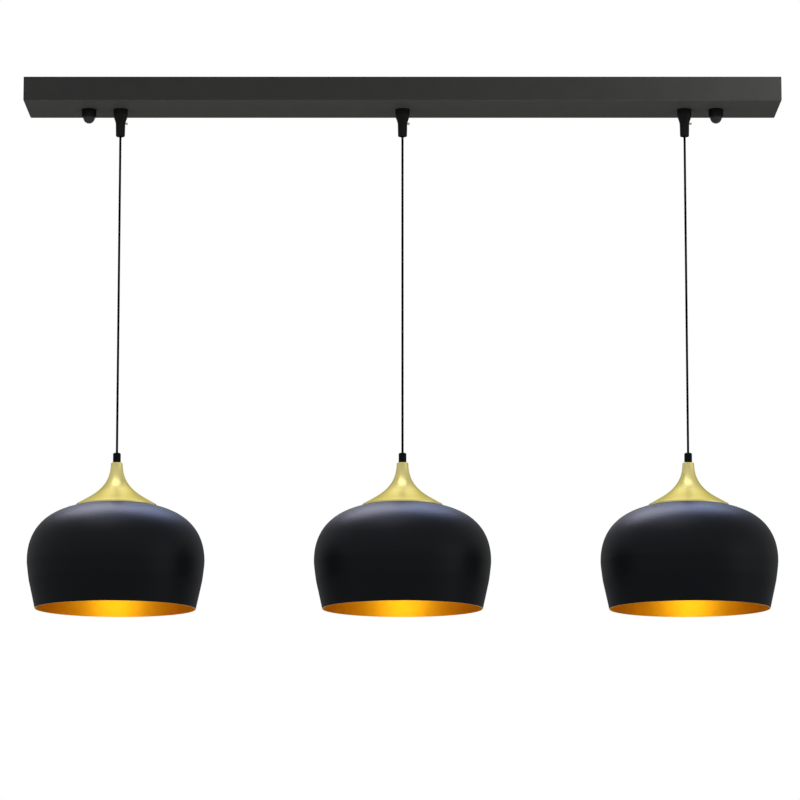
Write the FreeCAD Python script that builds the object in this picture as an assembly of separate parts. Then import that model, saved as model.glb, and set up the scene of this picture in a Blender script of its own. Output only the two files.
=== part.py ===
"""Linear island pendant: three spun shades hung on cords from one long ceiling canopy.

Millimetres, +Z up. The origin is on the ceiling plane, at the middle of the mounting strap's top face.
X runs along the canopy and Y across it, so everything hangs below z = 0.
"""

import FreeCAD, Part
import math
import os

os.makedirs("parts", exist_ok=True)
V = FreeCAD.Vector
UP = V(0, 0, 1)

# ---------------------------------------------------------------- driving dimensions
# canopy: a folded sheet-steel tray, open towards the ceiling
canopy_length = 1000.0
canopy_depth = 100.0
canopy_height = 32.5
canopy_wall = 1.0
canopy_bend = 2.0  # outer radius of the folded edges
least_bend = 0.2  # inner radius of the sharpest fold
outlet_pitch = 375.0  # from one cord to the next
outlet_count = 3

# mounting strap, its slots for the ceiling screws, and the studs that carry the canopy
strap_overhang = 23.0  # beyond each stud
strap_width = 25.0
strap_thickness = 2.0
strap_corner_round = 4.0
slot_spacing = 600.0
slot_length = 16.0
slot_width = 5.0
stud_from_outlet = 42.0  # beyond the outermost outlet
stud_diameter = 5.0
stud_head_diameter = 9.0
stud_head_height = 0.8
stud_nut_bite = 12.0  # length of stud inside the cap nut
thread_runout = 1.0
spacer_wall = 2.0

# cap nuts, turned by hand
nut_collar_diameter = 19.5
nut_collar_height = 11.0
nut_dome_diameter = 15.5
nut_dome_height = 8.0
nut_edge = 0.8

# cord grips
grip_length = 37.0  # below the canopy
grip_flange_diameter = 19.0
grip_flange_height = 8.5
grip_shoulder = 1.0  # the flange's side ends this far above its foot
grip_shoulder_pull = 4.5  # how far the taper keeps upright below the flange
grip_taper_height = 13.0
grip_waist_pull = 5.8  # how far it keeps upright above the waist
grip_waist_diameter = 12.6
grip_tip_diameter = 12.0
grip_tip_round = 1.4
grip_mouth_round = 3.2
grip_stem_diameter = 10.0
grip_stem_height = 5.0  # above the canopy's undersheet
grip_nut_width = 14.0
grip_nut_height = 3.0
grip_screw_drop = 19.5  # below the canopy
grip_screw_diameter = 2.4
grip_screw_head_diameter = 3.2
grip_screw_head_height = 2.0
grip_screw_reach = 7.6  # from the cord's axis to the underside of the head

# cord
cord_diameter = 3.0
core_diameter = 1.1
cord_drop = 425.0  # from the grip's tip to the strain relief
pivot_depth = 1.5  # the cord bends this far inside the grip's mouth

# strain relief
relief_diameter = 10.2
relief_height = 13.0
relief_chamfer = 1.1
relief_spigot_diameter = 6.9
relief_spigot_height = 8.0

# neck: a hollow spun cone with a solid boss at its top
neck_height = 57.2
neck_top_diameter = 15.3
neck_foot_diameter = 103.4
neck_wall = 1.2
neck_straight = 1.0
neck_top_pull = 33.7  # how far the flare keeps upright below the straight
neck_foot_pull = 20.4  # how far it keeps to the foot's slope
neck_foot_slope = 31.8  # degrees below level
neck_boss_height = 16.5
neck_bead_height = 2.3
neck_bead_width = 0.8
neck_bead_edge = 0.4
neck_chamfer = 0.9

# shade: a spun bowl with a flat top
shade_height = 135.3
shade_wall = 1.0
shade_widest_diameter = 232.0
shade_widest_drop = 72.8  # below the flat top
shade_taper_diameter = 225.4
shade_taper_drop = 100.3
shade_rim_diameter = 210.0
shade_shoulder_slope = 17.4  # degrees below level, beside the neck's foot
shade_shoulder_pull = 14.1
shade_crown_pull = 59.2
shade_waist_pull = 5.1
shade_taper_pull = 4.0

# lamp holder, for a standard 27 mm screw cap
nipple_diameter = 10.0
nipple_bore = 7.0
nipple_proud = 0.5  # below the holder cap's roof
nut_width = 14.0
nut_height = 3.0
holder_diameter = 39.0
holder_thread_diameter = 38.0
holder_rise = 10.0  # the skirt's top above the shade's flat top
holder_drop = 30.0  # the skirt's mouth below it
holder_cap_height = 16.0
holder_collar_height = 4.0
holder_cap_neck_diameter = 20.0
holder_cap_neck_height = 5.0
holder_wall = 1.9
holder_edge = 1.0
socket_bore = 27.0
socket_length = 26.0
socket_wall = 0.4
insert_height = 7.0
insert_ledge = 1.6
insert_pocket_diameter = 12.0
insert_pocket_depth = 3.5
contact_gap = 1.2  # round the centre contact, inside the pocket
contact_width = 4.0
contact_thickness = 0.5
contact_tip = 1.0  # level end of the sprung leaf
contact_leaf_reach = 2.2
ring_diameter = 56.0
ring_height = 5.0
ring_edge = 0.8
ring_gap = 1.0  # from the upper ring to the collar above it
ring_grips = 16
ring_notch_diameter = 4.0
ring_notch_offset = 1.0  # its axis is this far outside the ring
terminal_length = 5.0
terminal_width = 4.0
terminal_height = 4.0
terminal_radius = 9.5
terminal_screw_diameter = 2.6
terminal_screw_height = 0.8
core_straight = 2.5  # a core leaves the cord's cut end this far before it spreads
core_entry = 2.0  # and is level again this far before its terminal
cord_cut_gap = 1.5  # from the holder cap's roof to the cord's cut end

# terminal block, earth post and wiring inside the canopy
block_x = 70.0
block_length = 36.0
block_width = 18.0
block_height = 19.0
block_round = 1.0
way_pitch = 10.0
way_drop = 14.0  # from the ceiling plane to the ways' axis
way_tube_diameter = 5.0
way_bore = 3.6
way_web = 1.0  # between the supply side and the lamp side of a way
wire_reach = 7.5  # how far a lamp wire goes into its way
wire_turn = 6.0  # it is in line with its way this far before it
way_screw_offset = 5.0
way_screw_diameter = 2.4
way_screw_head_diameter = 4.4
way_screw_head_height = 2.0
way_screw_sink = 1.0
block_screw_diameter = 3.0
block_screw_head_diameter = 5.6
block_screw_head_height = 1.8
post_x = 115.0
post_diameter = 4.0
post_length = 16.0
post_nut_width = 7.0
post_nut_height = 3.2
tag_thickness = 0.8
tag_diameter = 8.0
tag_reach = 10.0
tag_lap = 1.0  # of the tongue on the ring
barrel_diameter = 2.6
barrel_length = 5.0
barrel_floor = 1.0
link_diameter = 1.0
link_end_gap = 0.5
link_side_gap = 7.0  # from the block's end to the link
link_rise = 6.0  # it comes down this far to its way
lane_y = -30.0  # the cords' tails run along this line
tail_drops = (10.0, 14.0, 18.0)  # height of each tail below the ceiling plane
tail_turns = (((26, -15), (46, lane_y)), ((20, -13), (33, lane_y)), ((-14, -11), (-30, lane_y)))
tail_end_gap = 25.0  # from the block's middle to the tails' cut ends
core_spread = 0.64  # from the cord's axis to each core's axis
way_spread = 0.78  # the same, where the cores meet in one way
screw_slot_width = 0.7
screw_slot_depth = 0.6
small_edge = 0.5  # chamfer on small turned and moulded pieces

# clearances, as radii
thread_clearance = 0.05
running_clearance = 0.05
hole_clearance = 0.1
cord_clearance = 0.35
bend_clearance = 0.3
shade_hole_clearance = 0.7
ring_clearance = 0.05

# a quarter round, as shares of its radius
round_pull = 0.5523  # how far the poles of its curve reach
round_middle = 1 - math.sqrt(0.5)  # how far its middle stands off each side

# ---------------------------------------------------------------- levels and radii worked out from them
canopy_under = -canopy_height
canopy_floor = canopy_under + canopy_wall
grip_tip = canopy_under - grip_length
swing_pivot = grip_tip + pivot_depth
cord_radius = cord_diameter / 2
cord_top = swing_pivot - cord_radius - bend_clearance
tail_foot = swing_pivot + cord_radius + bend_clearance
cord_foot = grip_tip - cord_drop
neck_top = cord_foot - relief_height
joint_level = neck_top - neck_height
rim_level = joint_level - shade_height
holder_top = joint_level + holder_rise
holder_mouth = joint_level - holder_drop
insert_top = holder_top - holder_wall / 2
insert_foot = insert_top - insert_height
way_level = -way_drop
barrel_level = -strap_thickness - running_clearance - barrel_diameter / 2
barrel_near = post_x - tag_reach
barrel_far = barrel_near + barrel_length
outlets = [(i - (outlet_count - 1) / 2) * outlet_pitch for i in range(outlet_count)]
stud_offset = outlets[-1] + stud_from_outlet
strap_length = 2 * (stud_offset + strap_overhang)
ways = [block_x + (i - 1) * way_pitch for i in range(3)]
core_angles = (330.0, 90.0, 210.0)  # live, neutral and earth round the cord's axis


# ---------------------------------------------------------------- drawing helpers
def save(name, *solids):
    """Writes one named piece, or a group of like pieces."""
    shape = solids[0] if len(solids) == 1 else Part.makeCompound(list(solids))
    shape.exportStep(f"parts/{name}.step")


def moved(shape, x=0.0, y=0.0, z=0.0):
    return shape.translated(V(x, y, z))


def point(r, z):
    return V(r, 0, z)


def turned(start, *steps):
    """Solid of revolution about Z. A step is an end point for a line, or a list that ends in one:
    of two points for an arc through the first, of three for a curve with two poles."""
    edges = []
    here = start
    for step in steps + (start,):
        if isinstance(step, list):
            end = step[-1]
            points = [point(*p) for p in [here] + step]
            if len(step) == 2:
                edges.append(Part.Arc(*points).toShape())
            else:
                curve = Part.BezierCurve()
                curve.setPoles(points)
                edges.append(curve.toShape())
        else:
            end = step
            if math.dist(here, end) > 1e-6:
                edges.append(Part.makeLine(point(*here), point(*end)))
        here = end
    return Part.Face(Part.Wire(edges)).revolve(V(0, 0, 0), UP, 360)


def tube(outer_radius, inner_radius, low, high):
    return turned((inner_radius, low), (outer_radius, low), (outer_radius, high), (inner_radius, high))


def rod(radius, start, end):
    """Cylinder from one point to another."""
    axis = V(*end) - V(*start)
    return Part.makeCylinder(radius, axis.Length, V(*start), axis)


def box(low, high):
    size = V(*high) - V(*low)
    return Part.makeBox(size.x, size.y, size.z, V(*low))


def hexagon(width, low, high, bore_radius):
    """Hexagon nut about Z; width is across its flats."""
    corner = width / math.sqrt(3)
    angles = [math.radians(60 * i) for i in range(7)]
    ring = Part.makePolygon([V(corner * math.cos(a), corner * math.sin(a), low) for a in angles])
    body = Part.Face(ring).extrude(V(0, 0, high - low))
    chamfered = turned(
        (0, low), (width / 2, low), (corner, low + corner - width / 2), (corner, high - corner + width / 2),
        (width / 2, high), (0, high),
    )
    return body.common(chamfered).cut(rod(bore_radius, (0, 0, low - 1), (0, 0, high + 1)))


def slotted(shape, centre, direction):
    """Cuts a screwdriver slot into the face at centre, whose outward normal is direction."""
    half = screw_slot_width / 2
    reach = 2 * block_screw_head_diameter
    blade = box((-half, -reach, -screw_slot_depth), (half, reach, screw_slot_depth))
    blade.Placement = FreeCAD.Placement(V(*centre), FreeCAD.Rotation(UP, V(*direction)))
    return shape.cut(blade)


def wire_run(label, points, radius):
    """Round wire along straight runs joined by tangent arcs, each as large as its two runs allow."""
    route = [V(*p) for p in points]
    edges = []
    radii = []
    here = route[0]
    for before, corner, after in zip(route, route[1:], route[2:]):
        arriving = (before - corner).normalize()
        leaving = (after - corner).normalize()
        half_turn = (math.pi - arriving.getAngle(leaving)) / 2
        trim = 0.45 * min((before - corner).Length, (after - corner).Length)
        bend = trim / math.tan(half_turn)
        inward = (arriving + leaving).normalize()
        middle = corner + inward * (bend / math.cos(half_turn) - bend)
        enter = corner + arriving * trim
        leave = corner + leaving * trim
        edges.append(Part.LineSegment(here, enter).toShape())
        edges.append(Part.Arc(enter, middle, leave).toShape())
        radii.append(round(bend, 1))
        here = leave
    edges.append(Part.LineSegment(here, route[-1]).toShape())
    path = Part.Wire(edges)
    section = Part.Wire(Part.makeCircle(radius, route[0], route[1] - route[0]))
    solid = path.makePipeShell([section], True, False)
    share = solid.Volume / (math.pi * radius**2 * path.Length)
    print(f"{label}: length {path.Length:.1f}, bend radii {radii}, volume {share:.4f} of section by length")
    return solid


def around(radius, angle):
    """Point at that radius and angle in degrees, about an upright axis."""
    return radius * math.cos(math.radians(angle)), radius * math.sin(math.radians(angle))


# ---------------------------------------------------------------- canopy, strap and studs
def folded_block(inset, low, bend):
    """The tray's outer form, or its inside where inset is the wall, with folded edges of that radius."""
    x = canopy_length / 2 - inset
    y = canopy_depth / 2 - inset
    block = box((-x, -y, low), (x, y, canopy_height))
    folds = [e for e in block.Edges if e.CenterOfMass.z < canopy_height - 1]
    return block.makeFillet(bend, folds)


def make_canopy():
    shell = folded_block(0, canopy_under, canopy_bend)
    shell = shell.cut(folded_block(canopy_wall, canopy_floor, max(canopy_bend - canopy_wall, least_bend)))
    above = box((-canopy_length, -canopy_depth, 0), (canopy_length, canopy_depth, 2 * canopy_height))
    shell = shell.cut(above)
    for x in outlets:
        hole = grip_stem_diameter / 2 + hole_clearance
        shell = shell.cut(rod(hole, (x, 0, canopy_under - 1), (x, 0, canopy_floor + 1)))
    for x in (-stud_offset, stud_offset):
        hole = stud_diameter / 2 + hole_clearance
        shell = shell.cut(rod(hole, (x, 0, canopy_under - 1), (x, 0, canopy_floor + 1)))
    save("canopy_shell", shell)


def sunk_hole(x, shank_diameter, head_diameter, head_height):
    """Hole through the strap with a recess that leaves the head flush with its top face."""
    shank = rod(shank_diameter / 2 + hole_clearance, (x, 0, -strap_thickness - 1), (x, 0, 1))
    return shank.fuse(rod(head_diameter / 2 + hole_clearance, (x, 0, -head_height), (x, 0, 1)))


def make_strap():
    half_thickness = strap_thickness / 2
    half_length = strap_length / 2
    half_width = strap_width / 2
    strap = box((-half_length, -half_width, -strap_thickness), (half_length, half_width, 0))
    corners = [e for e in strap.Edges if abs(e.CenterOfMass.z + half_thickness) < 0.01]
    strap = strap.makeFillet(strap_corner_round, corners)
    slot_radius = slot_width / 2
    for x in (-slot_spacing / 2, slot_spacing / 2):
        reach = slot_length / 2 - slot_radius
        slot = box((x - reach, -slot_radius, -strap_thickness - 1), (x + reach, slot_radius, 1))
        for end in (x - reach, x + reach):
            slot = slot.fuse(rod(slot_radius, (end, 0, -strap_thickness - 1), (end, 0, 1)))
        strap = strap.cut(slot)
    for x in (-stud_offset, stud_offset):
        strap = strap.cut(sunk_hole(x, stud_diameter, stud_head_diameter, stud_head_height))
    strap = strap.cut(sunk_hole(post_x, post_diameter, 2 * post_diameter, stud_head_height))
    block_hole = block_screw_diameter / 2 + thread_clearance
    screw_x = block_x + way_pitch / 2
    strap = strap.cut(rod(block_hole, (screw_x, 0, -strap_thickness - 1), (screw_x, 0, 1)))
    save("ceiling_strap", strap)


def flush_stud(diameter, head_diameter, foot):
    """Stud with a flush head, hanging from the strap."""
    return turned(
        (0, 0), (head_diameter / 2, 0), (head_diameter / 2, -stud_head_height),
        (diameter / 2, -stud_head_height), (diameter / 2, foot + small_edge),
        (diameter / 2 - small_edge, foot), (0, foot),
    )


def make_studs():
    foot = canopy_under - stud_nut_bite
    stud = flush_stud(stud_diameter, stud_head_diameter, foot)
    bore = stud_diameter / 2 + hole_clearance
    spacer = tube(bore + spacer_wall, bore, canopy_floor, -strap_thickness)
    save("strap_studs", moved(stud, -stud_offset), moved(stud, stud_offset))
    save("stud_spacers", moved(spacer, -stud_offset), moved(spacer, stud_offset))


def make_cap_nuts():
    """Collar and dome in one piece, with a blind thread from above."""
    collar = nut_collar_diameter / 2
    dome = nut_dome_diameter / 2
    top = canopy_under - running_clearance
    step = canopy_under - nut_collar_height
    foot = step - nut_dome_height
    bore = stud_diameter / 2 + thread_clearance
    nut = turned(
        (0, top), (collar - nut_edge, top), (collar, top - nut_edge), (collar, step + nut_edge),
        (collar - nut_edge, step), (dome, step),
        [(dome, step - nut_dome_height * round_pull), (dome * round_pull, foot), (0, foot)],
    )
    hole_end = canopy_under - stud_nut_bite - thread_runout
    nut = nut.cut(rod(bore, (0, 0, hole_end), (0, 0, top + 1)))
    save("cap_nut_left", moved(nut, -stud_offset))
    save("cap_nut_right", moved(nut, stud_offset))


# ---------------------------------------------------------------- cord grips
def make_grips():
    flange = grip_flange_diameter / 2
    waist = grip_waist_diameter / 2
    tip = grip_tip_diameter / 2
    stem = grip_stem_diameter / 2
    bore = cord_radius + cord_clearance
    mouth = bore + grip_mouth_round
    stem_top = canopy_floor + grip_stem_height - canopy_wall
    flange_foot = canopy_under - grip_flange_height
    waist_level = flange_foot - grip_taper_height
    outer = turned(
        (0, stem_top), (stem - small_edge, stem_top), (stem, stem_top - small_edge), (stem, canopy_under),
        (flange - small_edge, canopy_under), (flange, canopy_under - small_edge),
        (flange, flange_foot + grip_shoulder),
        [
            (flange, flange_foot + grip_shoulder - grip_shoulder_pull),
            (waist, waist_level + grip_waist_pull), (waist, waist_level),
        ],
        (tip, grip_tip + grip_tip_round),
        [
            (tip - grip_tip_round * round_middle, grip_tip + grip_tip_round * round_middle),
            (tip - grip_tip_round, grip_tip),
        ],
        (0, grip_tip),
    )
    passage = turned(
        (0, grip_tip - 1), (mouth, grip_tip - 1), (mouth, grip_tip),
        [
            (bore + grip_mouth_round * round_middle, grip_tip + grip_mouth_round * round_middle),
            (bore, grip_tip + grip_mouth_round),
        ],
        (bore, stem_top + 1), (0, stem_top + 1),
    )
    screw_level = canopy_under - grip_screw_drop
    screw_radius = grip_screw_diameter / 2
    screw_tip = cord_radius + running_clearance
    head_end = grip_screw_reach + grip_screw_head_height
    screw_hole = rod(screw_radius + thread_clearance, (0, 0, screw_level), (2 * flange, 0, screw_level))
    grip = outer.cut(passage).cut(screw_hole)
    screw = rod(screw_radius, (screw_tip, 0, screw_level), (grip_screw_reach, 0, screw_level))
    head = rod(grip_screw_head_diameter / 2, (grip_screw_reach, 0, screw_level), (head_end, 0, screw_level))
    screw = slotted(screw.fuse(head), (head_end, 0, screw_level), (1, 0, 0))
    nut = hexagon(grip_nut_width, canopy_floor, canopy_floor + grip_nut_height, stem + thread_clearance)
    save("cord_grips", *[moved(grip, x) for x in outlets])
    save("grip_screws", *[moved(screw, x) for x in outlets])
    save("grip_lock_nuts", *[moved(nut, x) for x in outlets])


# ---------------------------------------------------------------- wiring inside the canopy
def tail_side(index):
    """Which side of the terminal block a cord's tail ends at: -1 for the left, 1 for the right."""
    return 1 if outlets[index] > block_x else -1


def make_tails():
    """Each cord's tail goes up through its grip, bends over and runs to the terminal block."""
    tails = []
    for i, x in enumerate(outlets):
        level = -tail_drops[i]
        turns = [(x + dx, y, level) for dx, y in tail_turns[i]]
        end = (block_x + tail_end_gap * tail_side(i), lane_y, level)
        tails.append(wire_run(f"tail {i + 1}", [(x, 0, tail_foot), (x, 0, level), *turns, end], cord_radius))
    save("cord_tails", *tails)


def make_wires():
    """From each tail's cut end to its way: live, neutral and earth, one wire per tail."""
    entry = -block_width / 2
    meetings = ((0, way_spread), (-way_spread, 0), (0, -way_spread))
    for way, name in enumerate(("live_wires", "neutral_wires", "earth_wires")):
        wires = []
        for i in range(outlet_count):
            side = tail_side(i)
            spread_y, spread_z = around(core_spread, core_angles[way])
            y = lane_y - side * spread_y
            z = -tail_drops[i] + spread_z
            turn_x = ways[way] + meetings[i][0]
            end_z = way_level + meetings[i][1]
            route = [
                (block_x + tail_end_gap * side, y, z), (turn_x, y, z),
                (turn_x, entry - wire_turn, end_z), (turn_x, entry + wire_reach, end_z),
            ]
            wires.append(wire_run(f"{name} {i + 1}", route, core_diameter / 2))
        if name == "earth_wires":
            wires.append(make_earth_link())
        save(name, *wires)


def make_earth_link():
    """From the tag on the earth post to the block's earth way."""
    entry = -block_width / 2
    way_x = ways[2] + way_spread
    beside = block_x + block_length / 2 + link_side_gap
    route = [
        (barrel_far - barrel_floor - link_end_gap, 0, barrel_level), (beside + 3, 0, barrel_level),
        (beside, entry - 9, way_level + link_rise), (way_x, entry - 8, way_level),
        (way_x, entry + wire_reach, way_level),
    ]
    return wire_run("earth link", route, link_diameter / 2)


def make_terminal_block():
    half_length = block_length / 2
    half_width = block_width / 2
    top = -strap_thickness
    foot = top - block_height
    tube_radius = way_tube_diameter / 2
    bore = way_bore / 2
    screw_radius = way_screw_diameter / 2
    head_radius = way_screw_head_diameter / 2
    block = box((block_x - half_length, -half_width, foot), (block_x + half_length, half_width, top))
    block = block.makeFillet(block_round, [e for e in block.Edges if e.CenterOfMass.z < top - 0.5])
    tubes = []
    screws = []
    for x in ways:
        passage_radius = tube_radius + running_clearance
        passage = rod(passage_radius, (x, -block_width, way_level), (x, block_width, way_level))
        block = block.cut(passage)
        way = rod(tube_radius, (x, -half_width, way_level), (x, half_width, way_level))
        for side in (-1, 1):
            y = side * way_screw_offset
            way = way.cut(rod(bore, (x, side * way_web / 2, way_level), (x, side * block_width, way_level)))
            well = rod(head_radius + hole_clearance, (x, y, foot - 1), (x, y, way_level - tube_radius))
            thread = rod(screw_radius + thread_clearance, (x, y, foot), (x, y, way_level))
            block = block.cut(well).cut(thread)
            way = way.cut(thread)
            head_foot = foot + way_screw_sink
            head_top = head_foot + way_screw_head_height
            screw = rod(head_radius, (x, y, head_foot), (x, y, head_top))
            screw_end = way_level - bore - running_clearance
            screw = screw.fuse(rod(screw_radius, (x, y, head_top), (x, y, screw_end)))
            screws.append(slotted(screw, (x, y, head_foot), (0, 0, -1)))
        tubes.append(way)
    fix_x = block_x + way_pitch / 2
    fix_radius = block_screw_diameter / 2
    block = block.cut(rod(fix_radius + hole_clearance, (fix_x, 0, foot - 1), (fix_x, 0, top + 1)))
    fixing = rod(fix_radius, (fix_x, 0, foot), (fix_x, 0, -hole_clearance))
    fixing_foot = foot - block_screw_head_height
    fixing = fixing.fuse(rod(block_screw_head_diameter / 2, (fix_x, 0, fixing_foot), (fix_x, 0, foot)))
    screws.append(slotted(fixing, (fix_x, 0, fixing_foot), (0, 0, -1)))
    save("terminal_block", block)
    save("terminal_tubes", *tubes)
    save("terminal_screws", *screws)


def make_earth_post():
    """Earth post on the strap, its nut, and the ring tag that the earth link ends in."""
    post = flush_stud(post_diameter, 2 * post_diameter, -post_length)
    tag_foot = -strap_thickness - tag_thickness
    nut = hexagon(post_nut_width, tag_foot - post_nut_height, tag_foot, post_diameter / 2 + thread_clearance)
    save("earth_post", moved(post, post_x), moved(nut, post_x))

    half_barrel = barrel_diameter / 2
    ring = tube(tag_diameter / 2, post_diameter / 2 + hole_clearance, tag_foot, -strap_thickness)
    tongue_end = post_x - tag_diameter / 2 + tag_lap
    tongue_start = barrel_far - 2 * barrel_floor
    tongue = box((tongue_start, -half_barrel, tag_foot), (tongue_end, half_barrel, -strap_thickness))
    barrel = rod(half_barrel, (barrel_near, 0, barrel_level), (barrel_far, 0, barrel_level))
    tag = moved(ring, post_x).fuse(tongue).fuse(barrel).removeSplitter()
    wire_hole = link_diameter / 2 + running_clearance
    hole_end = barrel_far - barrel_floor
    tag = tag.cut(rod(wire_hole, (barrel_near - 1, 0, barrel_level), (hole_end, 0, barrel_level)))
    save("earth_tag", tag)


# ---------------------------------------------------------------- one hanging pendant, drawn about the Z axis
def make_cord_pieces():
    """The straight cord below its bend, and the short bend itself at the grip's mouth."""
    bend = Part.makeSphere(cord_radius, V(0, 0, swing_pivot))
    cord = rod(cord_radius, (0, 0, cord_foot), (0, 0, cord_top))
    return {"cord": cord, "cord_bend": bend}


def make_relief():
    """Moulded strain relief: its head stands on the neck and its spigot plugs into the nipple."""
    head = relief_diameter / 2
    spigot = relief_spigot_diameter / 2
    bore = cord_radius + running_clearance
    foot = neck_top - relief_spigot_height
    return turned(
        (bore, cord_foot), (head - relief_chamfer, cord_foot), (head, cord_foot - relief_chamfer),
        (head, neck_top), (spigot, neck_top), (spigot, foot + small_edge), (spigot - small_edge, foot),
        (bore, foot),
    )


def neck_flare(inset):
    """Start and curve of the neck's side, moved inwards by the wall for its inside."""
    slope = math.radians(neck_foot_slope)
    radius = neck_top_diameter / 2 - inset
    level = neck_top - neck_straight
    foot_radius = neck_foot_diameter / 2 - inset * math.sin(slope)
    foot_level = joint_level + neck_bead_height - inset * math.cos(slope)
    curve = [
        (radius, level - neck_top_pull),
        (foot_radius - neck_foot_pull * math.cos(slope), foot_level + neck_foot_pull * math.sin(slope)),
        (foot_radius, foot_level),
    ]
    return (radius, level), curve


def make_neck():
    start, curve = neck_flare(0)
    bead_radius = neck_foot_diameter / 2 + neck_bead_width
    bead_top = joint_level + neck_bead_height
    outer = turned(
        (0, neck_top), (start[0] - neck_chamfer, neck_top), (start[0], neck_top - neck_chamfer), start, curve,
        (bead_radius - neck_bead_edge, bead_top), (bead_radius, bead_top - neck_bead_edge),
        (bead_radius, joint_level),
        (0, joint_level),
    )
    start, curve = neck_flare(neck_wall)
    inside = turned((0, start[1]), start, curve, (curve[-1][0], joint_level - 1), (0, joint_level - 1))
    boss_foot = neck_top - neck_boss_height
    inside = inside.common(rod(neck_foot_diameter, (0, 0, joint_level - 1), (0, 0, boss_foot)))
    bore = rod(nipple_diameter / 2 + thread_clearance, (0, 0, joint_level), (0, 0, neck_top + 1))
    return outer.cut(inside).cut(bore)


def shade_side(inset):
    """The shade's side from the flat top to the rim, moved inwards by the wall for its inside."""
    shoulder = math.radians(shade_shoulder_slope)
    taper = math.atan2(
        (shade_taper_diameter - shade_rim_diameter) / 2, shade_height - shade_taper_drop
    )
    top_radius = neck_foot_diameter / 2 + neck_bead_width
    start = (top_radius - inset * math.tan(shoulder / 2), joint_level - inset)
    widest = (shade_widest_diameter / 2 - inset, joint_level - shade_widest_drop)
    taper_start = (
        shade_taper_diameter / 2 - inset * math.cos(taper),
        joint_level - shade_taper_drop + inset * math.sin(taper),
    )
    outward, downward = math.cos(shoulder), math.sin(shoulder)
    crown = [
        (start[0] + shade_shoulder_pull * outward, start[1] - shade_shoulder_pull * downward),
        (widest[0], widest[1] + shade_crown_pull),
        widest,
    ]
    outward, upward = math.sin(taper), math.cos(taper)
    waist = [
        (widest[0], widest[1] - shade_waist_pull),
        (taper_start[0] + shade_taper_pull * outward, taper_start[1] + shade_taper_pull * upward),
        taper_start,
    ]
    rim = (shade_rim_diameter / 2 - inset / math.cos(taper), rim_level)
    return start, crown, waist, rim


def make_shade():
    hole = holder_diameter / 2 + shade_hole_clearance
    start, crown, waist, rim = shade_side(0)
    inner_start, inner_crown, inner_waist, inner_rim = shade_side(shade_wall)
    back_up = [inner_waist[1], inner_waist[0], inner_crown[2]]
    back_in = [inner_crown[1], inner_crown[0], inner_start]
    return turned(
        (hole, joint_level), start, crown, waist, rim, inner_rim, inner_waist[2], back_up, back_in,
        (hole, joint_level - shade_wall),
    )


def make_nipple_and_nuts():
    """Threaded tube that hangs the lamp holder from the neck, and its two lock nuts."""
    radius = nipple_diameter / 2
    cap_top = holder_top + holder_cap_height
    foot = cap_top - holder_cap_neck_height - holder_wall - nipple_proud
    nipple = tube(radius, nipple_bore / 2, foot, neck_top)
    boss_foot = neck_top - neck_boss_height
    bore = radius + thread_clearance
    upper = hexagon(nut_width, boss_foot - nut_height, boss_foot, bore)
    lower = hexagon(nut_width, cap_top, cap_top + nut_height, bore)
    return nipple, Part.makeCompound([upper, lower])


def make_holder_cap():
    outer_radius = holder_diameter / 2
    neck_radius = holder_cap_neck_diameter / 2
    top = holder_top + holder_cap_height
    neck_foot = top - holder_cap_neck_height
    shoulder = holder_top + holder_collar_height
    bore = nipple_diameter / 2 + thread_clearance
    slope = math.atan2(neck_foot - shoulder, outer_radius - neck_radius)
    wall_drop = holder_wall / math.cos(slope)
    inner_radius = outer_radius - holder_wall
    inner_shoulder = shoulder + holder_wall * math.tan(slope) - wall_drop
    roof = neck_foot - holder_wall
    roof_radius = neck_radius - (wall_drop - holder_wall) / math.tan(slope)
    return turned(
        (bore, top), (neck_radius - holder_edge, top), (neck_radius, top - holder_edge),
        (neck_radius, neck_foot), (outer_radius, shoulder), (outer_radius, holder_top),
        (inner_radius, holder_top), (inner_radius, inner_shoulder), (roof_radius, roof), (bore, roof),
    )


def make_holder_skirt():
    """Screwed to the cap; the ledge inside carries the insert, and the thread outside takes the rings."""
    collar = holder_diameter / 2
    thread = holder_thread_diameter / 2
    socket = socket_bore / 2 + socket_wall + hole_clearance
    ledge = socket + insert_ledge
    collar_foot = joint_level + ring_height + ring_gap
    return turned(
        (ledge, holder_top), (collar, holder_top), (collar, collar_foot), (thread, collar_foot),
        (thread, holder_mouth + holder_edge), (thread - holder_edge, holder_mouth),
        (socket + small_edge, holder_mouth), (socket, holder_mouth + small_edge), (socket, insert_foot),
        (ledge, insert_foot),
    )


def make_holder_insert():
    """Insulating disc on the skirt's ledge, with a pocket for the centre contact."""
    radius = socket_bore / 2 + socket_wall + insert_ledge
    disc = rod(radius, (0, 0, insert_foot), (0, 0, insert_top))
    pocket_radius = insert_pocket_diameter / 2
    return disc.cut(rod(pocket_radius, (0, 0, insert_foot - 1), (0, 0, insert_foot + insert_pocket_depth)))


def make_screw_shell():
    radius = socket_bore / 2
    return tube(radius + socket_wall, radius, insert_foot - socket_length, insert_foot)


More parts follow.
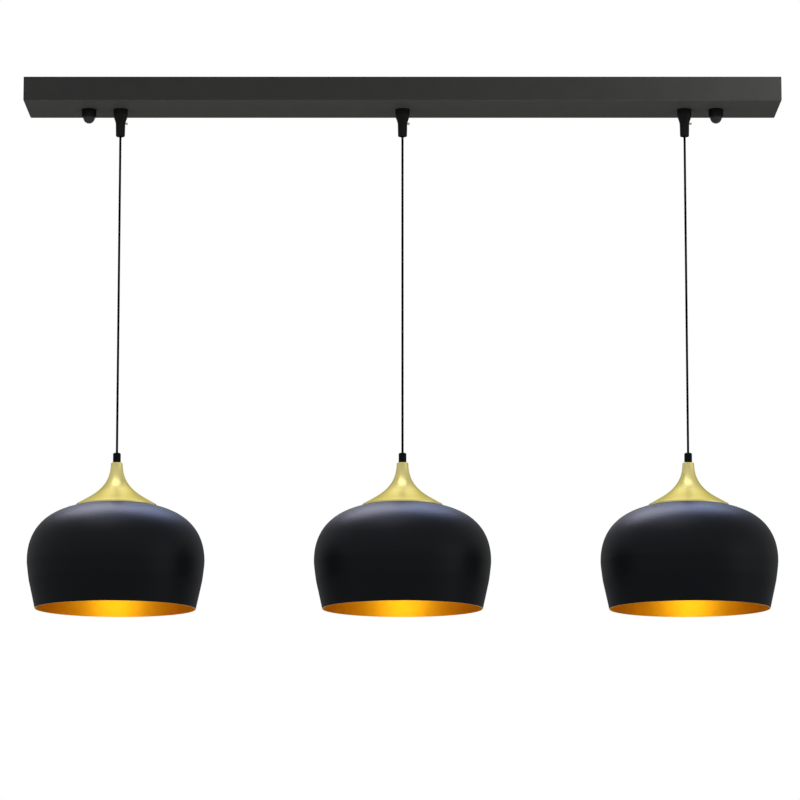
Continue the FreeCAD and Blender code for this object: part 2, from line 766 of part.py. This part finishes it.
def make_contacts():
    """Sprung centre contact in the insert's pocket, and the insert's three terminals."""
    roof = insert_foot + insert_pocket_depth
    half = insert_pocket_diameter / 2 - contact_gap
    under = roof - contact_thickness
    dip = insert_foot + contact_thickness
    tip_end = -half + contact_tip
    leaf_start = tip_end - contact_thickness
    outline = [
        (-half, roof), (half, roof), (half, under), (0, under), (tip_end, dip), (-half, dip),
        (-half, dip + contact_thickness), (leaf_start, dip + contact_thickness),
        (leaf_start + contact_leaf_reach, under), (-half, under),
    ]
    near = -contact_width / 2
    face = Part.Face(Part.makePolygon([V(x, near, z) for x, z in outline + outline[:1]]))
    pieces = [face.extrude(V(0, contact_width, 0))]
    screw_radius = terminal_screw_diameter / 2
    for angle in core_angles:
        low = (terminal_radius - terminal_length / 2, -terminal_width / 2, insert_top)
        high = (terminal_radius + terminal_length / 2, terminal_width / 2, insert_top + terminal_height)
        block = box(low, high)
        block = block.makeFillet(small_edge, [e for e in block.Edges if e.CenterOfMass.z > insert_top + 0.1])
        screw_top = high[2] + terminal_screw_height
        screw = rod(screw_radius, (terminal_radius, 0, high[2]), (terminal_radius, 0, screw_top))
        block = slotted(block.fuse(screw), (terminal_radius, 0, screw_top), (0, 0, 1))
        pieces.append(block.rotated(V(0, 0, 0), UP, angle))
    return Part.makeCompound(pieces)


def make_rings():
    """Upper and lower shade rings on the skirt's thread, with finger notches round their edge."""
    bore = holder_thread_diameter / 2 + ring_clearance
    outer = ring_diameter / 2
    rings = []
    for low in (joint_level, joint_level - shade_wall - ring_height):
        ring = turned(
            (bore, low), (outer - ring_edge, low), (outer, low + ring_edge),
            (outer, low + ring_height - ring_edge), (outer - ring_edge, low + ring_height),
            (bore, low + ring_height),
        )
        for i in range(ring_grips):
            x, y = around(outer + ring_notch_offset, 360 * i / ring_grips)
            ring = ring.cut(rod(ring_notch_diameter / 2, (x, y, low - 1), (x, y, low + ring_height + 1)))
        rings.append(ring)
    return Part.makeCompound(rings)


def make_lamp_lead():
    """The cord's end inside the strain relief and the nipple, and its cores down to the terminals."""
    roof = holder_top + holder_cap_height - holder_cap_neck_height - holder_wall
    split = roof - cord_cut_gap
    pieces = [rod(cord_radius, (0, 0, split), (0, 0, cord_foot))]
    terminal_face = terminal_radius - terminal_length / 2
    entry_level = insert_top + terminal_height / 2
    for angle in core_angles:
        route = [
            (core_spread, 0, split), (core_spread, 0, split - core_straight),
            (terminal_face - core_entry, 0, entry_level),
            (terminal_face, 0, entry_level),
        ]
        core = wire_run("lamp core", route, core_diameter / 2)
        pieces.append(core.rotated(V(0, 0, 0), UP, angle))
    return Part.makeCompound(pieces)


def make_pendants():
    """The same pieces hang at every outlet."""
    nipple, nuts = make_nipple_and_nuts()
    pieces = make_cord_pieces()
    pieces.update({
        "strain_relief": make_relief(),
        "neck": make_neck(),
        "shade": make_shade(),
        "nipple": nipple,
        "lock_nuts": nuts,
        "holder_cap": make_holder_cap(),
        "holder_skirt": make_holder_skirt(),
        "holder_insert": make_holder_insert(),
        "screw_shell": make_screw_shell(),
        "contacts": make_contacts(),
        "shade_rings": make_rings(),
        "lamp_lead": make_lamp_lead(),
    })
    for number, x in enumerate(outlets, start=1):
        for name, shape in pieces.items():
            save(f"{name}_{number}", moved(shape, x))


make_canopy()
make_strap()
make_studs()
make_cap_nuts()
make_grips()
make_tails()
make_wires()
make_terminal_block()
make_earth_post()
make_pendants()
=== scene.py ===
"""Linear island pendant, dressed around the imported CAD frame: camera, cords, finishes, lights and floor.

Metres, in the CAD's frame: +Z up, the origin on the ceiling plane at the middle of the mounting strap.
"""

import math

import bpy
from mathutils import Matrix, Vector


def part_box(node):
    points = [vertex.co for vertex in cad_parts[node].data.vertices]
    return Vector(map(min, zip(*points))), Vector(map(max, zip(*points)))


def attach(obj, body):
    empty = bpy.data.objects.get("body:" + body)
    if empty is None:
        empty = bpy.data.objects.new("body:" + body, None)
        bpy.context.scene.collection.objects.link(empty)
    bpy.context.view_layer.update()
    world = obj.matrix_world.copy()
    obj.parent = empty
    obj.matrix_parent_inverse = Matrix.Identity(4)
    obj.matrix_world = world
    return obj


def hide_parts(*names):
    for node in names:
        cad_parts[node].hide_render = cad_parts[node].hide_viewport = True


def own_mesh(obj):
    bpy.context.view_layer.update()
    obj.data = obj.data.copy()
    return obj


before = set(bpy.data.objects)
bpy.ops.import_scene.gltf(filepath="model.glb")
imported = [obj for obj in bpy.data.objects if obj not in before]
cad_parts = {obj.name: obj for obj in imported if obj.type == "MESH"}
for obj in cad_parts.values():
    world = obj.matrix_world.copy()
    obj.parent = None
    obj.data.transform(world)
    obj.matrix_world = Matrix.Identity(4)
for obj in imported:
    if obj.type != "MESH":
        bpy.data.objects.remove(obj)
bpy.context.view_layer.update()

# ---------------------------------------------------------------- camera
CAMERA_PLACE = (-0.0033, -5.0, -1.2237)
CAMERA_RISE = math.radians(8.492)
SENSOR = 36.0  # millimetres, as the lens is
CAMERA_LENS = 173.16
CAMERA_SHIFT = 0.05  # the picture was cropped off centre

# ---------------------------------------------------------------- cords
CORD_DIAMETER = 0.003
CORD_SIDES = 28
CORD_STEP = 0.008  # about this far from one ring of the cord's mesh to the next
PENDANTS = (1, 2, 3)
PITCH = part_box("shade_3")[0].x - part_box("shade_2")[0].x  # from one pendant to the next

# ---------------------------------------------------------------- sizes that finishes and lamps need
NUT_DOME = 0.008  # height of a cap nut's dome
GLOW_DROP = 0.03  # from a lamp socket's mouth to the middle of its glow
GLOW_RADIUS = 0.03
GLOW_POWER = 0.13  # watts
GLOW_COLOUR = (1.0, 0.88, 0.55)
RIM_LEAN = 0.06  # how far a shade's face that looks up counts as facing outward
LATHE_SHARE = 0.012  # how fast a lathe line's noise changes across the axis, as a share of along it
STRIPE_RATE = 9000.0  # radians per metre of height: the earth wire's yellow comes back every 0.7 mm
STRIPE_EDGE = 0.35  # the wave is yellow above this

# ---------------------------------------------------------------- light, world and floor
MIDDLE = Vector((0, 0, -0.55))  # what a soft box faces, unless it is told otherwise
FAR = 8.0  # most soft boxes stand this far off, so that the three shades are lit alike
LIT_COLOUR = (0.9, 0.93, 1.0, 1)  # of the world's light; the camera and reflections see white
LIT_STRENGTH = 0.6
FLOOR_LEVEL = -2.2
FLOOR_HALF = 40.0


def make_camera():
    data = bpy.data.cameras.new("photo_camera")
    data.sensor_width = SENSOR
    data.lens = CAMERA_LENS
    data.shift_y = CAMERA_SHIFT
    data.clip_end = 60
    camera = bpy.data.objects.new("photo_camera", data)
    camera.location = CAMERA_PLACE
    camera.rotation_euler = (math.radians(90) + CAMERA_RISE, 0, 0)
    bpy.context.scene.collection.objects.link(camera)
    bpy.context.scene.camera = camera


def link_mesh(name, points, faces):
    mesh = bpy.data.meshes.new(name)
    mesh.from_pydata(points, [], faces)
    mesh.validate()
    mesh.shade_smooth()
    piece = bpy.data.objects.new(name, mesh)
    bpy.context.scene.collection.objects.link(piece)
    return piece


def swept_tube(name, path, radius, sides):
    """Round tube along an upright path, closed at both ends."""
    points = []
    for place in path:
        for i in range(sides):
            angle = 2 * math.pi * i / sides
            points.append(place + Vector((radius * math.cos(angle), radius * math.sin(angle), 0)))
    faces = []
    for ring in range(len(path) - 1):
        low = ring * sides
        for i in range(sides):
            j = (i + 1) % sides
            faces.append((low + i, low + j, low + sides + j, low + sides + i))
    faces.append(tuple(range(sides - 1, -1, -1)))
    last = (len(path) - 1) * sides
    faces.append(tuple(range(last, last + sides)))
    return link_mesh(name, points, faces)


def make_cords():
    """One straight cord a pendant, pulled tight by the shade's weight."""
    for k in PENDANTS:
        low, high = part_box(f"cord_{k}")
        foot = Vector(((low.x + high.x) / 2, (low.y + high.y) / 2, low.z))
        length = high.z - low.z
        count = round(length / CORD_STEP)
        path = [foot + Vector((0, 0, length * i / count)) for i in range(count + 1)]
        cord = swept_tube(f"hanging_cord_{k}", path, CORD_DIAMETER / 2, CORD_SIDES)
        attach(cord, f"cord_{k}")
        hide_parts(f"cord_{k}")
        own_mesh(cord)
        dress(cord, cord_sheath())


# ---------------------------------------------------------------- materials
class Finish:
    """One procedural material, built node by node."""

    def __init__(self, name):
        self.material = bpy.data.materials.new(name)
        self.material.use_nodes = True
        self.nodes = self.material.node_tree.nodes
        self.links = self.material.node_tree.links
        self.shader = self.nodes["Principled BSDF"]
        coordinates = self.nodes.new("ShaderNodeTexCoord")
        self.place = coordinates.outputs["Object"]
        self.facing = coordinates.outputs["Normal"]

    def set(self, **values):
        for name, value in values.items():
            self.shader.inputs[name.replace("_", " ").title().replace("Ior", "IOR")].default_value = value
        return self

    def satin(self, gloss, rough):
        """Dark paint or plastic: all its gloss is in a thin coat, so that its edges stay dark too."""
        return self.set(specular_ior_level=0.0, coat_weight=gloss, coat_roughness=rough)

    def math(self, operation, first, second=0.0, clamp=False):
        node = self.nodes.new("ShaderNodeMath")
        node.operation = operation
        node.use_clamp = clamp
        for socket, value in zip(node.inputs, (first, second)):
            if isinstance(value, (int, float)):
                socket.default_value = value
            else:
                self.links.new(value, socket)
        return node.outputs[0]

    def split(self, vector):
        node = self.nodes.new("ShaderNodeSeparateXYZ")
        self.links.new(vector, node.inputs[0])
        return node.outputs

    def scaled(self, x, y, z):
        """Object coordinates stretched along each axis."""
        node = self.nodes.new("ShaderNodeVectorMath")
        node.operation = "MULTIPLY"
        self.links.new(self.place, node.inputs[0])
        node.inputs[1].default_value = (x, y, z)
        return node.outputs[0]

    def noise(self, scale, detail=2.0, vector=None):
        node = self.nodes.new("ShaderNodeTexNoise")
        node.inputs["Scale"].default_value = scale
        node.inputs["Detail"].default_value = detail
        self.links.new(vector or self.place, node.inputs["Vector"])
        return node.outputs["Fac"]

    def spread(self, value, low, high):
        """Maps 0..1 noise to a range of values."""
        node = self.nodes.new("ShaderNodeMapRange")
        self.links.new(value, node.inputs["Value"])
        node.inputs["From Min"].default_value = 0.3
        node.inputs["From Max"].default_value = 0.7
        node.inputs["To Min"].default_value = low
        node.inputs["To Max"].default_value = high
        return node.outputs["Result"]

    def mix(self, factor, first, second):
        node = self.nodes.new("ShaderNodeMix")
        node.data_type = "RGBA"
        for socket, value in zip((node.inputs[0], node.inputs[6], node.inputs[7]), (factor, first, second)):
            if hasattr(value, "links"):
                self.links.new(value, socket)
            elif isinstance(value, (int, float)):
                socket.default_value = value
            else:
                socket.default_value = (*value, 1.0)
        return node.outputs[2]

    def colour(self, value):
        self.links.new(value, self.shader.inputs["Base Color"])
        return self

    def roughness(self, value):
        self.links.new(value, self.shader.inputs["Roughness"])
        return self

    def bump(self, height, distance, strength=1.0):
        node = self.nodes.new("ShaderNodeBump")
        node.inputs["Strength"].default_value = strength
        node.inputs["Distance"].default_value = distance
        self.links.new(height, node.inputs["Height"])
        self.links.new(node.outputs["Normal"], self.shader.inputs["Normal"])
        return self


made = {}


def once(maker):
    """Each material is made the first time that it is asked for."""
    def wrapped():
        if maker.__name__ not in made:
            made[maker.__name__] = maker().material
        return made[maker.__name__]
    return wrapped


def moulded(name, dark, light, rough, grain_scale=2600, grain_depth=0.00004, gloss=None):
    """Moulded plastic: slight cloudiness and a fine spark-eroded grain."""
    finish = Finish(name)
    if gloss is not None:
        finish.satin(gloss, rough)
    finish.colour(finish.mix(finish.noise(60), dark, light))
    finish.roughness(finish.spread(finish.noise(240), rough - 0.05, rough + 0.07))
    finish.bump(finish.noise(grain_scale, 1.0), grain_depth, 0.6)
    return finish


@once
def cord_sheath():
    dark, light = (0.001, 0.001, 0.001), (0.002, 0.002, 0.002)
    return moulded("cord_sheath", dark, light, 0.45, 1800, 0.00002, gloss=0.03)


@once
def powder_black():
    """Powder coat on the canopy, with a faint orange peel."""
    finish = Finish("powder_black").satin(0.07, 0.42)
    finish.colour(finish.mix(finish.noise(35), (0.025, 0.025, 0.024), (0.031, 0.031, 0.029)))
    finish.roughness(finish.spread(finish.noise(420), 0.40, 0.50))
    finish.bump(finish.noise(900, 2.0), 0.00006, 0.5)
    return finish


@once
def nut_black():
    """Cap nuts: a satin collar, and a dome painted paler as a painted reflection of the pale floor below it.
    """
    finish = Finish("nut_black").satin(0.3, 0.3)
    height = finish.split(finish.place)[2]
    dome = finish.math("LESS_THAN", height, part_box("cap_nut_left")[0].z + NUT_DOME)
    collar = finish.mix(finish.noise(80), (0.004, 0.004, 0.004), (0.007, 0.007, 0.006))
    # painted reflection: the dome's paler colour stands in for the floor that it mirrors
    painted_reflection_dome = finish.mix(finish.noise(300), (0.032, 0.032, 0.031), (0.046, 0.046, 0.044))
    finish.colour(finish.mix(dome, collar, painted_reflection_dome))
    finish.roughness(finish.spread(finish.noise(500), 0.30, 0.38))
    finish.bump(finish.noise(1600, 1.0), 0.00003, 0.4)
    return finish


@once
def grip_black():
    return moulded("grip_black", (0.008, 0.008, 0.007), (0.013, 0.013, 0.011), 0.36, gloss=0.14)


@once
def relief_black():
    return moulded("relief_black", (0.002, 0.003, 0.004), (0.004, 0.005, 0.007), 0.34, gloss=0.1)


@once
def holder_black():
    return moulded("holder_black", (0.010, 0.010, 0.009), (0.016, 0.015, 0.014), 0.42, gloss=0.4)


@once
def pale_nylon():
    return moulded("pale_nylon", (0.80, 0.80, 0.78), (0.88, 0.88, 0.86), 0.45)


@once
def ceramic_white():
    return moulded("ceramic_white", (0.72, 0.70, 0.66), (0.82, 0.80, 0.77), 0.55, 1800, 0.00006)


@once
def wire_brown():
    return moulded("wire_brown", (0.16, 0.06, 0.022), (0.22, 0.085, 0.03), 0.4)


@once
def wire_blue():
    return moulded("wire_blue", (0.03, 0.12, 0.42), (0.04, 0.16, 0.52), 0.4)


@once
def wire_earth():
    """Green insulation with yellow stripes, which lie level."""
    finish = moulded("wire_earth", (0.10, 0.30, 0.03), (0.14, 0.38, 0.05), 0.4)
    height = finish.split(finish.place)[2]
    wave = finish.math("SINE", finish.math("MULTIPLY", height, STRIPE_RATE))
    stripe = finish.math("GREATER_THAN", wave, STRIPE_EDGE)
    finish.colour(finish.mix(stripe, (0.12, 0.34, 0.04), (0.75, 0.62, 0.05)))
    return finish


def plain_metal(name, dark, light, rough):
    """Plated or drawn metal with fine rubbing marks."""
    finish = Finish(name).set(metallic=1.0)
    finish.colour(finish.mix(finish.noise(120, 3.0), dark, light))
    finish.roughness(finish.spread(finish.noise(700, 3.0), rough - 0.06, rough + 0.08))
    finish.bump(finish.noise(2400, 2.0), 0.00002, 0.4)
    return finish


@once
def zinc_plate():
    return plain_metal("zinc_plate", (0.50, 0.51, 0.52), (0.62, 0.62, 0.60), 0.34)


@once
def strap_steel():
    return plain_metal("strap_steel", (0.42, 0.43, 0.45), (0.58, 0.59, 0.61), 0.42)


@once
def terminal_brass():
    return plain_metal("terminal_brass", (0.60, 0.43, 0.18), (0.72, 0.54, 0.26), 0.32)


@once
def shell_brass():
    return plain_metal("shell_brass", (0.56, 0.47, 0.28), (0.68, 0.58, 0.36), 0.28)


def lathe_lines(finish, per_metre):
    """Fine rings left by spinning: noise that changes with height and hardly round the axis."""
    across = per_metre * LATHE_SHARE
    return finish.noise(1.0, 3.0, finish.scaled(across, across, per_metre))


@once
def neck_brass():
    """Satin brass, spun and lightly brushed round its axis."""
    finish = Finish("neck_brass").set(metallic=1.0)
    lines = lathe_lines(finish, 2600)
    cloud = finish.spread(finish.noise(26, 2.0), 0.0, 1.0)
    tone = finish.mix(cloud, (0.54, 0.475, 0.18), (0.60, 0.525, 0.21))
    finish.colour(finish.mix(finish.spread(lines, 0.0, 0.25), tone, (0.46, 0.40, 0.15)))
    finish.roughness(finish.spread(lines, 0.36, 0.44))
    finish.bump(lines, 0.00002, 0.35)
    finish.shader.inputs["Specular Tint"].default_value = (0.45, 0.42, 0.25, 1.0)
    return finish


@once
def shade_paint():
    """Satin black outside and gold inside. The side is told by whether the surface faces the bowl's axis."""
    finish = Finish("shade_paint").satin(0.22, 0.43)
    normal = finish.split(finish.facing)
    x, y = finish.split(finish.place)[:2]
    from_outlet = finish.math("SUBTRACT", x, finish.math("SNAP", finish.math("ADD", x, PITCH / 2), PITCH))
    outward = finish.math(
        "ADD", finish.math("MULTIPLY", normal[0], from_outlet), finish.math("MULTIPLY", normal[1], y)
    )
    up = finish.math("MULTIPLY", normal[2], RIM_LEAN)
    inside = finish.math("LESS_THAN", finish.math("ADD", outward, up), 0.0)
    black = finish.mix(finish.noise(18, 2.0), (0.0014, 0.0019, 0.0028), (0.0026, 0.0032, 0.0044))
    gold = finish.mix(finish.noise(22, 2.0), (0.80, 0.46, 0.009), (0.84, 0.49, 0.011))
    finish.colour(finish.mix(inside, black, gold))
    finish.links.new(inside, finish.shader.inputs["Metallic"])
    finish.roughness(finish.spread(finish.noise(300, 2.0), 0.38, 0.43))
    finish.bump(lathe_lines(finish, 700), 0.00003, 0.25)
    return finish


NODE_FINISHES = {
    "canopy_shell": powder_black, "ceiling_strap": strap_steel, "strap_studs": zinc_plate,
    "stud_spacers": zinc_plate, "cap_nut_left": nut_black, "cap_nut_right": nut_black,
    "cord_grips": grip_black, "grip_screws": pale_nylon, "grip_lock_nuts": zinc_plate,
    "cord_tails": cord_sheath, "live_wires": wire_brown, "neutral_wires": wire_blue,
    "earth_wires": wire_earth, "terminal_block": pale_nylon, "terminal_tubes": terminal_brass,
    "terminal_screws": zinc_plate, "earth_post": terminal_brass, "earth_tag": terminal_brass,
    "cord_bend": cord_sheath, "strain_relief": relief_black, "neck": neck_brass, "shade": shade_paint,
    "nipple": zinc_plate, "lock_nuts": zinc_plate, "holder_cap": holder_black,
    "holder_skirt": holder_black, "holder_insert": ceramic_white, "screw_shell": shell_brass,
    "contacts": shell_brass, "shade_rings": holder_black, "lamp_lead": cord_sheath,
}


def dress(piece, material):
    piece.data.materials.clear()
    piece.data.materials.append(material)


def family_of(name):
    """A node's name without the number of its pendant."""
    return name[:-2] if name[-2:] in ("_1", "_2", "_3") else name


def dress_nodes():
    for name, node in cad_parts.items():
        if family_of(name) in NODE_FINISHES:
            dress(node, NODE_FINISHES[family_of(name)]())


# ---------------------------------------------------------------- lamps, world and floor
def soft_box(name, direction, distance, size, radiance, colour=(1, 1, 1), aim=MIDDLE):
    """Rectangular lamp that far from its aim in that direction, and facing it."""
    data = bpy.data.lights.new(name, "AREA")
    data.shape = "RECTANGLE"
    data.size, data.size_y = size
    data.energy = radiance * math.pi * size[0] * size[1]
    data.color = colour
    lamp = bpy.data.objects.new(name, data)
    away = Vector(direction).normalized()
    lamp.location = aim + away * distance
    lamp.rotation_euler = away.to_track_quat("Z", "Y").to_euler()
    lamp.visible_camera = False
    bpy.context.scene.collection.objects.link(lamp)
    return lamp


def only_for(lamp, families):
    """Limits a lamp to some families of nodes. The cords and the floor of this script get none of it."""
    lit = bpy.data.collections.new(f"{lamp.name}_subjects")
    for name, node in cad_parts.items():
        if family_of(name) in families:
            lit.objects.link(node)
    lamp.light_linking.receiver_collection = lit


def make_lights():
    """Two soft boxes light everything, a third all nodes with a finish, and the rest one family each.

    The sheens light the shades, and only as reflections. The world is white in reflections, so the paint
    stays black only with little gloss, and these strong lamps make the highlight on the crowns.
    """
    soft_box("overhead", (-0.25, -0.25, 0.93), FAR, (4.4, 4.4), 1.5)
    soft_box("overhead_back", (0.0, 0.55, 0.83), FAR, (8.0, 4.0), 0.8)
    side = soft_box("side_right", (0.93, -0.35, -0.05), FAR, (5.0, 5.0), 1.0)
    only_for(side, NODE_FINISHES)
    for sheen in (
        soft_box("sheen_left", (-0.24, 0.46, 0.85), FAR, (4.2, 4.6), 21.0, (0.76, 0.77, 1.0)),
        soft_box("sheen_right", (0.17, 0.52, 0.84), FAR, (3.2, 4.4), 19.0, (0.46, 0.57, 1.0)),
        soft_box("sheen_back", (-0.05, 0.85, 0.50), FAR, (5.0, 3.0), 1.7, (0.70, 0.76, 1.0)),
        soft_box("sheen_top", (-0.15, 0.0, 0.99), FAR, (7.0, 4.0), 3.0, (0.55, 0.68, 1.0)),
    ):
        sheen.visible_diffuse = False
        only_for(sheen, ("shade",))
    for brass in (
        soft_box("neck_back", (0.0, 0.35, 0.94), FAR, (5.0, 4.5), 0.8, (0.95, 0.95, 1.0)),
        soft_box("neck_glint", (0.0, -0.20, 0.97), FAR, (6.5, 3.0), 3.0, (0.85, 0.88, 1.0)),
    ):
        only_for(brass, ("neck",))
    right_end = Vector((0.5, -0.05, -0.015))  # front corner of the canopy
    end = soft_box("canopy_end", (0.3, -0.9, 0.2), 0.4, (0.3, 0.3), 8.0, aim=right_end)
    only_for(end, ("canopy_shell",))
    underside = Vector((0, 0, -0.03))  # the canopy's, at its middle
    below = soft_box(
        "canopy_below", (0.0, -0.3, -0.95), 1.5, (2.4, 1.0), 4.4, (1.0, 0.99, 0.92), underside
    )
    only_for(below, ("canopy_shell",))


def make_glows():
    """Warm light where each bulb would be, for the gold inside. It rides with its pendant."""
    for k in PENDANTS:
        low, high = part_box(f"screw_shell_{k}")
        data = bpy.data.lights.new(f"lamp_glow_{k}", "POINT")
        data.energy = GLOW_POWER
        data.color = GLOW_COLOUR
        data.shadow_soft_size = GLOW_RADIUS
        glow = bpy.data.objects.new(f"lamp_glow_{k}", data)
        glow.location = ((low.x + high.x) / 2, (low.y + high.y) / 2, low.z - GLOW_DROP)
        glow.visible_camera = False
        bpy.context.scene.collection.objects.link(glow)
        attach(glow, f"pendant_{k}")


def white_for(tree, rays, white, lit):
    """The named kinds of ray see the plain white; all others see what is lit."""
    path = tree.nodes.new("ShaderNodeLightPath")
    chosen = path.outputs[rays[0]]
    for name in rays[1:]:
        either = tree.nodes.new("ShaderNodeMath")
        either.operation = "MAXIMUM"
        tree.links.new(chosen, either.inputs[0])
        tree.links.new(path.outputs[name], either.inputs[1])
        chosen = either.outputs[0]
    switch = tree.nodes.new("ShaderNodeMixShader")
    tree.links.new(chosen, switch.inputs[0])
    tree.links.new(lit, switch.inputs[1])
    tree.links.new(white, switch.inputs[2])
    return switch.outputs[0]


def make_world():
    world = bpy.data.worlds.new("studio")
    bpy.context.scene.world = world
    world.use_nodes = True
    tree = world.node_tree
    tree.nodes.clear()
    white = tree.nodes.new("ShaderNodeBackground")
    white.inputs["Color"].default_value = (1, 1, 1, 1)
    lit = tree.nodes.new("ShaderNodeBackground")
    lit.inputs["Color"].default_value = LIT_COLOUR
    lit.inputs["Strength"].default_value = LIT_STRENGTH
    output = tree.nodes.new("ShaderNodeOutputWorld")
    rays = ("Is Camera Ray", "Is Glossy Ray", "Is Transmission Ray")
    shader = white_for(tree, rays, white.outputs[0], lit.outputs[0])
    tree.links.new(shader, output.inputs["Surface"])


def make_floor():
    """Pale floor that shows the object's shadow."""
    half, level = FLOOR_HALF, FLOOR_LEVEL
    points = [(-half, -half, level), (half, -half, level), (half, half, level), (-half, half, level)]
    floor = link_mesh("studio_floor", points, [(0, 1, 2, 3)])
    finish = Finish("floor_pale")
    finish.set(roughness=0.8)
    finish.colour(finish.mix(finish.noise(2.0), (0.80, 0.80, 0.80), (0.83, 0.83, 0.83)))
    dress(floor, finish.material)


make_camera()
make_cords()
dress_nodes()
make_lights()
make_glows()
make_world()
make_floor()
bpy.context.scene.view_settings.view_transform = "Standard"
